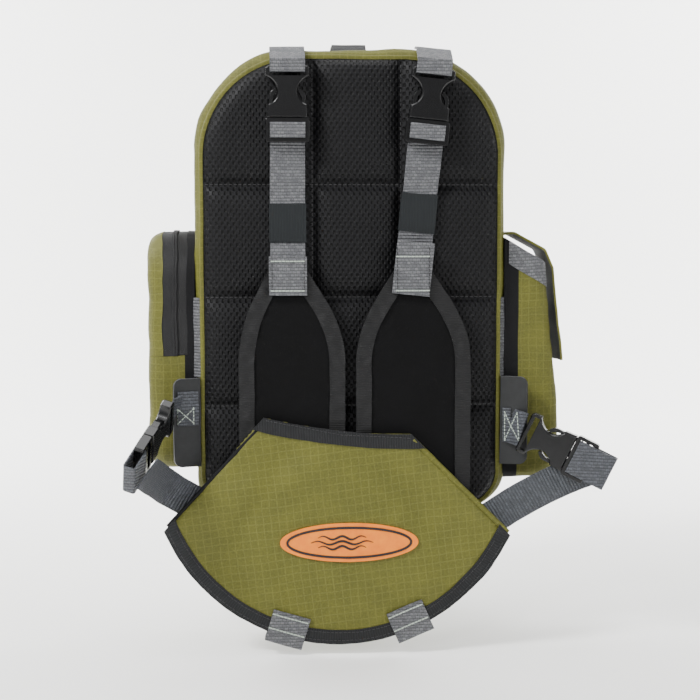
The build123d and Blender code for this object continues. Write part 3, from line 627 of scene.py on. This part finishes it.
mesh = nodeMesh("back_panel", quilt["pitch"])
for vert in mesh.verts:
    if vert.co.y < (quilt["back"] - 0.5) * mm:
        vert.co.y = max(quiltDepth(vert.co.x / mm, vert.co.z / mm), quilt["front"]) * mm
bmesh.ops.remove_doubles(mesh, verts=mesh.verts, dist=1e-4)
mesh.normal_update()
layUv(mesh)
backPanel = makeObject("backPanel", mesh, finish["mesh"])
attach(backPanel, "pack", "mesh_fabric", "back_panel")
softCopy("back_piping", "backPiping", "pack", "olive_ripstop", finish["olive"], 0.012, amount=0.0006)
print("back panel made")

# ---- webbing, loops, keepers and tabs

webSettings = {"pitch": 0.006, "slack": 0.0006, "size": 0.05}
webPieces = (
    ("grab_loop", "grabLoop", "grey_webbing", "dark"),
    ("top_loops", "topLoops", "grey_webbing", "grey"),
    ("shoulder_strap_left", "shoulderStrapLeft", "grey_webbing", "grey"),
    ("shoulder_strap_right", "shoulderStrapRight", "grey_webbing", "grey"),
    ("elastic_keepers", "elasticKeepers", "elastic", "elastic"),
    ("strap_tabs", "strapTabs", "grey_webbing", "grey"),
    ("hip_anchor_left", "hipAnchorLeft", "grey_webbing", "belt"),
    ("hip_anchor_right", "hipAnchorRight", "grey_webbing", "belt"),
)
web = {}
# the free part of each strap, given with its clip and two points; attach() only bakes its transform in, so it
# does not follow the clip
follows = {
    "shoulderStrapLeft": ("pack", "shoulder_clip_left", (-0.070, -0.104, 0.300), (-0.070, -0.104, 0.405)),
    "shoulderStrapRight": ("pack", "shoulder_clip_right", (0.070, -0.104, 0.300), (0.080, -0.104, 0.405)),
    "hipRunLeft": ("pack", "hip_clip_left", (-0.185, -0.112, 0.022), (-0.226, -0.170, 0.062)),
    "hipRunRight": ("pack", "hip_clip_right", (0.180, -0.112, 0.012), (0.262, -0.137, 0.055)),
}
for nodeName, name, slotName, look in webPieces:
    web[name] = softCopy(
        nodeName, name, follows.get(name, "pack"), slotName, finish[look],
        webSettings["pitch"], webSettings["size"], webSettings["slack"],
    )


def ribbonStrip(name, stations, width, thickness, body, slotName, material, steps=16):
    # webbing laid through stations, each a middle and the direction across it, in mm
    middles = [Vector(a) for a, b in stations]
    sides = [Vector(b).normalized() for a, b in stations]
    middles = [middles[0] * 2 - middles[1]] + middles + [middles[-1] * 2 - middles[-2]]
    sides = [sides[0]] + sides + [sides[-1]]
    line = []
    for i in range(1, len(middles) - 2):
        p0, p1, p2, p3 = middles[i - 1:i + 3]
        for step in range(steps):
            t = step / steps
            even = t * t * (3 - 2 * t)
            square, cube = p0 * 2 - p1 * 5 + p2 * 4 - p3, p1 * 3 - p0 - p2 * 3 + p3
            curve = (p1 * 2 + (p2 - p0) * t + square * t * t + cube * t ** 3) / 2
            line.append((curve, sides[i].lerp(sides[i + 1], even).normalized()))
    line.append((middles[-2], sides[-2]))
    places = []
    for index, (middle, across) in enumerate(line):
        ahead = line[min(index + 1, len(line) - 1)][0] - line[max(index - 1, 0)][0]
        places.append(frameAt(middle * mm, ahead, across))
    half, edge = width / 2 * mm, thickness / 2 * mm
    shares = (-1, -0.94, -0.5, 0, 0.5, 0.94, 1)
    upper = [(half * share, edge * (0.5 if abs(share) == 1 else 1)) for share in shares]
    mesh = sweep(upper + [(x, -y) for x, y in reversed(upper)], places)
    for vert in mesh.verts:
        vert.co += rippleAt(vert.co, 0.03, 0.0004)
    piece = makeObject(name, mesh, material)
    keepCreases(piece, 0.9)
    return attach(piece, body, slotName)


runs = {
    "left": (
        ((-150, -112.6, 2), (0.495, 0, 0.868)), ((-193, -113.0, 26.5), (0.52, 0.02, 0.86)),
        ((-209, -142, 44), (0.50, 0.16, 0.84)), ((-219, -181.8, 60.1), (0.574, 0.171, 0.80)),
    ),
    "right": (
        ((132, -112.6, -20), (0.532, 0, -0.847)), ((187, -113.0, 14.5), (0.534, 0, -0.845)),
        ((230, -119.5, 37.5), (0.46, 0.05, -0.88)), ((268.7, -125.4, 54.1), (0.44, 0.016, -0.897)),
    ),
}
for side, stations in runs.items():
    name = f"hipRun{side.title()}"
    web[name] = ribbonStrip(name, stations, 38.0, 1.8, follows[name], "grey_webbing", finish["belt"])
    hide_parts(f"hip_run_{side}")
for side, flip in (("Left", -1), ("Right", 1)):
    stations = [((168.9 * flip, -81.9, z), (0.707, 0.707 * flip, 0)) for z in (238, 196, 150)]
    ribbonStrip(f"sideStrap{side}", stations, 15.0, 1.4, "pack", "grey_webbing", finish["grey"])
for side in ("left", "right"):
    for kind, clip, look in (("shoulder", "shoulder_clip_", "grey"), ("hip", "hip_clip_", "belt")):
        nodeName = f"{kind}_wrap_{side}"
        softCopy(
            nodeName, f"{kind}Wrap{side.title()}", clip + side, "grey_webbing", finish[look],
            webSettings["pitch"], webSettings["size"], 0.0003,
        )
print("webbing made")

# ---- hip wings

for side in ("left", "right"):
    wing = softCopy(
        f"hip_wing_{side}", f"hipWing{side.title()}", "pack", "wing_sheet",
        [finish["sheet"], finish["cutEdge"]], 0.008, 0.05, 0.0008,
    )
    for face in wing.data.polygons:
        if face.area > 0 and abs(face.normal.y) < 0.2 and abs(face.normal.x) < 0.98:
            face.material_index = 1
print("wings made")

# ---- shoulder pads and yoke

padSettings = {"voxel": 0.004, "pressure": 4.0}
for side, centre, half in (("left", -66.0, 58.0), ("right", 67.0, 63.0)):
    mesh = nodeMesh(f"shoulder_pad_{side}", 0.008)
    pad = makeObject(f"shoulderPad{side.title()}", mesh, finish["pad"])
    inflate(pad, padSettings["pressure"], lambda p: 1.0 if p.y > -0.103 else 0.25, padSettings["voxel"], 0.0018)
    mesh = bmesh.new()
    mesh.from_mesh(pad.data)
    mesh.normal_update()
    layUv(mesh)
    for face in mesh.faces:
        face.smooth = True
    mesh.to_mesh(pad.data)
    mesh.free()
    attach(pad, "pack", "black_fabric", f"shoulder_pad_{side}")
    softCopy(
        f"pad_binding_{side}", f"padBinding{side.title()}", "pack", "binding_tape",
        finish["padBinding"], 0.0032, 0.03, 0.0006, shape=puckered(0.0085, 0.0014, 0.0004, -0.107),
    )
print("pads made")

yoke = {
    "centre": (-14.04, 64.31), "radius": 207.32, "front": -120.8, "back": -113.8,
    "voxel": 0.0045, "pressure": 4.0,
}
folds = (
    ((-205.0, -10.0), (-20.0, 60.0), 18.0, 5.5), ((-150.0, -60.0), (-60.0, 90.0), 14.0, -3.5),
    ((60.0, 84.0), (176.0, -20.0), 13.0, 7.0), ((20.0, 80.0), (130.0, -70.0), 15.0, -4.5),
    ((-10.0, -60.0), (20.0, -135.0), 22.0, 3.6), ((-110.0, -40.0), (-70.0, -120.0), 16.0, 3.4),
    ((70.0, -50.0), (90.0, -110.0), 15.0, 3.6), ((-60.0, 40.0), (60.0, 34.0), 26.0, 3.0),
    ((-170.0, -30.0), (-90.0, -100.0), 12.0, -2.6), ((110.0, -30.0), (150.0, -70.0), 12.0, 2.6),
)


def yokeLift(point):
    # how far the hanging yoke stands out of its flat cut at a point
    return sum(crease(point, a, b, width, height) for a, b, width, height in folds)


def yokeShape(point):
    return point - Vector((0, yokeLift(point), 0))


def yokeTape(point):
    return puckered(0.011, 0.0013, 0.0002, -0.1175)(yokeShape(point))


mesh = nodeMesh("yoke_panel", 0.009)
yokePanel = makeObject("yokePanel", mesh, finish["olive"])
inflate(yokePanel, yoke["pressure"], lambda p: 1.0 if p.y > -0.1148 else 0.2, yoke["voxel"], 0.004)
mesh = bmesh.new()
mesh.from_mesh(yokePanel.data)
mesh.normal_update()
layUv(mesh, 0.12)
for vert in mesh.verts:
    vert.co = yokeShape(vert.co + rippleAt(vert.co, 0.05, 0.0010) + rippleAt(vert.co * 1.3, 0.018, 0.0005))
for face in mesh.faces:
    face.smooth = True
mesh.to_mesh(yokePanel.data)
mesh.free()
attach(yokePanel, "pack", "olive_ripstop", "yoke_panel")
lowerPath = arcPoints(yoke["centre"], yoke["radius"] - 8, -72, 66, -122.0, 60)
softCopy(
    "yoke_lower_binding", "yokeLowerBinding", "pack", "binding_tape", finish["binding"],
    0.0036, 0.05, 0.0010, path=lowerPath, shape=yokeTape,
)
softCopy(
    "yoke_upper_binding", "yokeUpperBinding", "pack", "binding_tape", finish["binding"],
    0.0036, 0.05, 0.0010, turn=math.pi / 2, shape=yokeTape,
)
web["yokeLoops"] = softCopy(
    "yoke_loops", "yokeLoops", "pack", "grey_webbing", finish["grey"],
    webSettings["pitch"], webSettings["size"], webSettings["slack"], shape=yokeShape,
)
print("yoke made")

# the cut sides of the yoke: a rolled olive hem on one, a thin line of lining on the other


def tube(name, points, radius, material, body="pack", sides=10):
    places = []
    for index, point in enumerate(points):
        run = points[min(index + 1, len(points) - 1)] - points[max(index - 1, 0)]
        swell = 1 + 0.12 * noise.noise(point / 0.012)
        places.append(frameAt(point, run, run.cross(Vector((0, 1, 0)))) @ Matrix.Scale(swell, 4))
    turns = [math.tau * i / sides for i in range(sides)]
    mesh = sweep([(radius * math.cos(t), radius * math.sin(t)) for t in turns], places)
    return attach(makeObject(name, mesh, material), body, None)


def yokeSide(a, b, depth, count=60):
    return [yokeShape(point) for point in straight((a[0], depth, a[1]), (b[0], depth, b[1]), count)]


tube("yokeSideHem", yokeSide((66, 84), (171, -20), -119.0), 0.0030, finish["olive"])
tube("yokeSideLining", yokeSide((-100, 100), (-202, -9), -118.2), 0.0022, finish["lining"])

# ---- corded piping round the folding front, and rows of stitches on the body


def outline(halfWidth, low, high, crown, foot, count=24):
    # points round a rounded outline, from the middle of the base up the right side and over
    found = []
    corners = ((1, low, foot, -90), (1, high, crown, 0), (-1, high, crown, 90), (-1, low, foot, 180))
    for flip, level, radius, start in corners:
        centre = Vector((flip * (halfWidth - radius), level + (radius if level == low else -radius)))
        for i in range(count + 1):
            angle = math.radians(start + 90 * i / count)
            found.append((centre.x + radius * math.cos(angle), centre.y + radius * math.sin(angle)))
    return found


def onBody(points, depth):
    found = []
    for (x1, z1), (x2, z2) in zip(points, points[1:]):
        pieces = max(1, int(math.hypot(x2 - x1, z2 - z1) / 6))
        for i in range(pieces):
            spot = Vector((x1 + (x2 - x1) * i / pieces, depth, z1 + (z2 - z1) * i / pieces)) * mm
            found.append(spot + rippleAt(spot, fabric["size"], fabric["amount"]))
    return found


ring = outline(165.8, 6.2, 503.8, 106.0, 36.0)
upper = onBody([(165.8, 66)] + [p for p in ring if p[1] > 397] + [(-165.8, 66)], 78.8)
tube("doorPiping", upper, 0.0019, finish["plain"], "front_panel")
foot = [p for p in ring[-25:] + ring[:25] if p[1] < 60]
lower = [(-165.8, 60)] + foot + [(165.8, 60)]
tube("basePiping", onBody(lower, 78.8), 0.0019, finish["plain"])
for index, inset in enumerate((14.0, 17.0)):
    edge = outline(172.0 - inset, inset, 510.0 - inset, 112.0 - inset, 42.0 - inset)
    face = [Vector((x, 140, z)) * mm for x, z in edge if z > 68]
    stitchRow(f"doorRow{index}", "front_panel", door, face, (0, 1, 0), finish["darkThread"])
pocketEdge = outline(125.0 - 16, 84 + 16, 346 - 16, 20.0, 20.0)
pocketEdge = [Vector((x, 160, z)) * mm for x, z in pocketEdge + pocketEdge[:1]]
for flip in (-1, 1):
    for index, depth in enumerate((19.5, 50.5)):
        line = straight((flip * 210, depth, 72), (flip * 210, depth, 392), 90)
        holder = (shell, door)[index]
        body = ("pack", "front_panel")[index]
        stitchRow(f"zipRow{index}{flip + 1}", body, holder, line, (flip, 0, 0), finish["darkThread"])
print("piping made")

# ---- rubber patch: orange oval, dark ring and a plain wave motif

patchSettings = {"centre": (-4.0, -29.0), "skin": -123.2, "ring": (68.0, 16.5), "ringWidth": 2.6}
patch = softCopy("yoke_patch", "yokePatch", "pack", "patch_rubber", finish["patch"], 0.006, 0.05, 0.0)
layOn(patch, yokePanel, yoke["front"] * mm)


def inkStrip(name, points, width, depth, height=0.5):
    # a raised flat line of dark rubber on the patch
    depth -= 0.3
    places = []
    for index, point in enumerate(points):
        before = points[max(index - 1, 0)]
        after = points[min(index + 1, len(points) - 1)]
        ahead = Vector((after[0] - before[0], 0, after[1] - before[1]))
        broad = width[index] if isinstance(width, list) else width
        place = frameAt(Vector((point[0], depth, point[1])) * mm, ahead, ahead.cross(Vector((0, -1, 0))))
        places.append(place @ Matrix.Diagonal((broad, 1, 1, 1)))
    rise = height * mm
    profile = [(-0.5 * mm, -rise), (-0.5 * mm, rise), (0.5 * mm, rise), (0.5 * mm, -rise)]
    piece = makeObject(name, sweep(profile, places), finish["ink"], smooth=False)
    layOn(piece, yokePanel, yoke["front"] * mm)
    return attach(piece, "pack", "patch_rubber")


cx, cz = patchSettings["centre"]
ringHalf = patchSettings["ring"]
turns = [i * math.tau / 96 for i in range(97)]
ringPoints = [(cx + ringHalf[0] * math.cos(t), cz + ringHalf[1] * math.sin(t)) for t in turns]
inkStrip("patchRing", ringPoints, patchSettings["ringWidth"], patchSettings["skin"] + 0.25)
for index, level in enumerate((-5.5, 0.0, 5.5)):
    reach = 34.0 - abs(level) * 1.4
    rise = [1.9 * math.sin(i / 40 * math.tau * 2.5) for i in range(41)]
    wave = [(cx - 8 + reach * (i / 40 * 2 - 1), cz + level + rise[i]) for i in range(41)]
    thick = [0.5 + 2.0 * math.sin(math.pi * i / 40) for i in range(41)]
    inkStrip(f"patchWave{index}", wave, thick, patchSettings["skin"] + 0.25)
print("patch made")

# ---- side pockets

softCopy("left_pocket", "leftPocket", "pack", "olive_ripstop", finish["olive"], 0.007, 0.045, 0.0022)
softCopy("left_pocket_tape", "leftPocketTape", "pack", "zip_tape", finish["zipTape"], 0.006, 0.045, 0.0022)
softCopy("left_pocket_lid", "leftPocketLid", "left_lid", "olive_ripstop", finish["olive"], 0.007, 0.045, 0.0022)
softCopy("left_lid_tape", "leftLidTape", "left_lid", "zip_tape", finish["zipTape"], 0.006, 0.045, 0.0022)
softCopy("right_pocket", "rightPocket", "pack", "olive_ripstop", finish["olive"], 0.007, 0.045, 0.0026)
softCopy("right_pocket_rim", "rightPocketRim", "pack", "grey_webbing", finish["grey"], 0.006, 0.045, 0.0026)
# the strip of each pocket next to the body takes the black lining material: black fabric, and painted shade
# where the pocket meets the body
for name, limit, sign in (("rightPocket", 0.188, 1), ("leftPocket", -0.184, -1)):
    pocket = bpy.data.objects[name]
    mesh = bmesh.new()
    mesh.from_mesh(pocket.data)
    everything = mesh.verts[:] + mesh.edges[:] + mesh.faces[:]
    bmesh.ops.bisect_plane(mesh, geom=everything, dist=1e-6, plane_co=(limit, 0, 0), plane_no=(1, 0, 0))
    mesh.to_mesh(pocket.data)
    mesh.free()
    pocket.data.materials.append(finish["lining"])
    for face in pocket.data.polygons:
        if (face.center.x - limit) * sign < 0:
            face.material_index = 1
flap = softCopy("pocket_flap", "pocketFlap", "right_flap", "olive_ripstop", finish["olive"], 0.007, 0.06, 0.002)
flap.data.materials.append(finish["lining"])
for face in flap.data.polygons:
    if face.normal.x < -0.3 or face.normal.z < -0.5:
        face.material_index = 1
print("side pockets made")

# ---- front pocket, daisy chain and the pieces inside

frontPocket = softCopy(
    "front_pocket", "frontPocket", "front_panel", "olive_ripstop", finish["olive"], 0.008, 0.05, 0.0028
)
stitchRow("frontPocketRow", "front_panel", frontPocket, pocketEdge, (0, 1, 0), finish["darkThread"])
softCopy("front_pocket_zip", "frontPocketZip", "front_panel", "zip_tape", finish["zipTape"], 0.006, 0.05, 0.0028)
daisy = softCopy("daisy_chain", "daisyChain", "front_panel", "grey_webbing", finish["grey"], 0.008, 0.05, 0.0028)
for level in (138.0, 206.0):
    for index in range(6):
        x = -100 + index * 40
        line = straight((x, 170, level - 11), (x, 170, level + 11), 14)
        name = f"daisyTack{int(level)}_{index}"
        stitchRow(name, "front_panel", daisy, line, (0, 1, 0), finish["paleThread"], (2.4, 0.4, 1.6, 0.8))
softCopy("frame_sheet", "frameSheet", "pack", "frame_plastic", finish["board"], 0.012)
softCopy("inner_divider", "innerDivider", "pack", "mesh_fabric", finish["mesh"], 0.02, amount=0.0008)
print("front made")

# ---- sewing

bartack = (3.6, 0.5, 1.3, 0.9)
front = (0, -1, 0)
for side, x, rows in (("Left", -70.0, (279.0, 247.0)), ("Right", 66.0, (284.0, 247.0))):
    for index, level in enumerate(rows):
        line = straight((x - 17, -118, level), (x + 17, -118, level), 24)
        stitchRow(f"tabTack{side}{index}", "pack", web["strapTabs"], line, front, finish["paleThread"], bartack)
    for index, offset in enumerate((-18.5, 18.5)):
        line = straight((x + offset * 0.94, -116, 292), (x + offset * 0.94, -116, 244), 30)
        stitchRow(f"tabSide{side}{index}", "pack", web["strapTabs"], line, front, finish["darkThread"])
for side, angle in (("Left", -17.0), ("Right", 23.0)):
    for index, inset in enumerate((-6.0, -22.0)):
        middle = math.radians(angle)
        heart = Vector((yoke["centre"][0], -125.0, yoke["centre"][1]))
        down = Vector((math.sin(middle), 0, -math.cos(middle)))
        across = Vector((math.cos(middle), 0, math.sin(middle)))
        spot = heart + down * (yoke["radius"] + inset)
        line = [(spot + across * t) * mm for t in range(-19, 20)]
        stitchRow(f"loopTack{side}{index}", "pack", web["yokeLoops"], line, front, finish["paleThread"], bartack)
hem = bpy.data.objects["yokeLowerBinding"]
for index, inset in enumerate((-4.0, -13.0)):
    line = arcPoints(yoke["centre"], yoke["radius"] + inset, -66, 62, -124.0, 220)
    stitchRow(f"hemRow{index}", "pack", hem, line, front, finish["darkThread"])
line = straight((-93, -124, 106), (-12, -124, 90), 60) + straight((-12, -124, 90), (62, -124, 86), 60)
stitchRow("hemTop", "pack", bpy.data.objects["yokeUpperBinding"], line, front, finish["darkThread"])
anchorBoxes = {"left": (-191.0, -174.0, 101.0, 117.0), "right": (171.0, 184.0, 80.0, 110.0)}
for side, (near, far, low, high) in anchorBoxes.items():
    anchor = web[f"hipAnchor{side.title()}"]
    crossed = (((near, low), (far, high)), ((near, high), (far, low)))
    ends = crossed + (((near, low), (near, high)), ((far, low), (far, high)))
    for index, ((x1, z1), (x2, z2)) in enumerate(ends):
        line = straight((x1, -120, z1), (x2, -120, z2), 30)
        name = f"anchorTack{side.title()}{index}"
        stitchRow(name, "pack", anchor, line, front, finish["paleThread"], (3.0, 1.0, 1.0, 0.6))
seamDepth = -130.0
for index, column in enumerate(quilt["columns"]):
    line = straight((column, seamDepth, 12), (column, seamDepth, 492), 160)
    stitchRow(f"columnSeam{index}", "pack", backPanel, line, front, finish["darkThread"], (3.4, 1.8, 0.9, 0.5))
for index, row in enumerate(quilt["rows"]):
    line = straight((-158, seamDepth, row), (158, seamDepth, row), 120)
    stitchRow(f"rowSeam{index}", "pack", backPanel, line, front, finish["darkThread"], (3.4, 1.8, 0.9, 0.5))
print("sewing done")

# ---- hard parts keep their CAD shape

hardLooks = (
    ("socket", "acetal"), ("plug", "acetal"), ("slider", "slider"), ("pull", "pull"),
)
for nodeName, node in nodes.items():
    for word, look in hardLooks:
        if word in nodeName and not node.hide_render:
            node.data.materials.clear()
            node.data.materials.append(finish[look])
print("hard parts painted")
left = [n for n, node in nodes.items() if not node.hide_render and not any(w in n for w, l in hardLooks)]
print("plain nodes left:", left)

# ---- floor, lights, camera

stage = {"floor": "#f1f1ef", "size": 8.0, "drop": -0.155, "wallAt": 2.4}
floorMaterial = newMaterial("whitePaper", {"Base Color": rgb(stage["floor"]), "Roughness": 0.9})[0]
mesh = bmesh.new()
half = stage["size"] / 2
profile = [(-half, stage["drop"]), (stage["wallAt"] - 0.6, stage["drop"])]
profile += [
    (
        stage["wallAt"] - 0.6 + 0.6 * math.sin(math.radians(a)),
        stage["drop"] + 0.6 - 0.6 * math.cos(math.radians(a)),
    )
    for a in range(10, 91, 10)
]
profile.append((stage["wallAt"], half))
corners = [mesh.verts.new((x, *profile[0])) for x in (-half, half)]
edges = [mesh.edges.new(corners)]
for (y1, z1), (y2, z2) in zip(profile, profile[1:]):
    made = bmesh.ops.extrude_edge_only(mesh, edges=edges)["geom"]
    edges = [e for e in made if isinstance(e, bmesh.types.BMEdge)]
    verts = [v for v in made if isinstance(v, bmesh.types.BMVert)]
    bmesh.ops.translate(mesh, vec=(0, y2 - y1, z2 - z1), verts=verts)
floor = makeObject("floor", mesh, floorMaterial)


def areaLight(name, place, aim, size, energy, tint="#ffffff"):
    data = bpy.data.lights.new(name, "AREA")
    data.shape = "RECTANGLE"
    data.size, data.size_y = size
    data.energy = energy
    data.color = rgb(tint)[:3]
    lamp = bpy.data.objects.new(name, data)
    bpy.context.collection.objects.link(lamp)
    lamp.location = place
    lamp.rotation_euler = (Vector(aim) - Vector(place)).to_track_quat("-Z", "Y").to_euler()
    return lamp


target = (-0.002, -0.10, 0.181)
areaLight("key", (-1.6, -1.1, 1.9), target, (0.6, 0.5), 88)
areaLight("fill", (1.9, -1.5, 0.8), target, (1.0, 1.0), 20)
areaLight("over", (0.1, 0.2, 2.3), target, (2.0, 1.2), 40)
areaLight("glint", (-0.7, -2.1, 1.2), target, (0.25, 0.25), 14)
areaLight("wallLeft", (-1.6, 1.3, 1.2), (-0.4, 2.4, 0.3), (1.6, 1.6), 105)
areaLight("wallRight", (1.6, 1.3, 1.2), (0.4, 2.4, 0.3), (1.6, 1.6), 105)
world = bpy.data.worlds.new("studio")
bpy.context.scene.world = world
world.use_nodes = True
world.node_tree.nodes["Background"].inputs["Color"].default_value = rgb("#ffffff")
world.node_tree.nodes["Background"].inputs["Strength"].default_value = 0.45

view = {"distance": 1.6, "azimuth": -3.5, "elevation": 5.0, "lens": 74.8}
cameraData = bpy.data.cameras.new("camera")
cameraData.lens = view["lens"]
cameraData.sensor_width = 36
camera = bpy.data.objects.new("camera", cameraData)
bpy.context.collection.objects.link(camera)
azimuth, elevation = math.radians(view["azimuth"]), math.radians(view["elevation"])
level = math.cos(elevation)
away = Vector((math.sin(azimuth) * level, -math.cos(azimuth) * level, math.sin(elevation)))
camera.location = Vector(target) + away * view["distance"]
camera.rotation_euler = (-away).to_track_quat("-Z", "Y").to_euler()
bpy.context.scene.camera = camera
print("stage set")
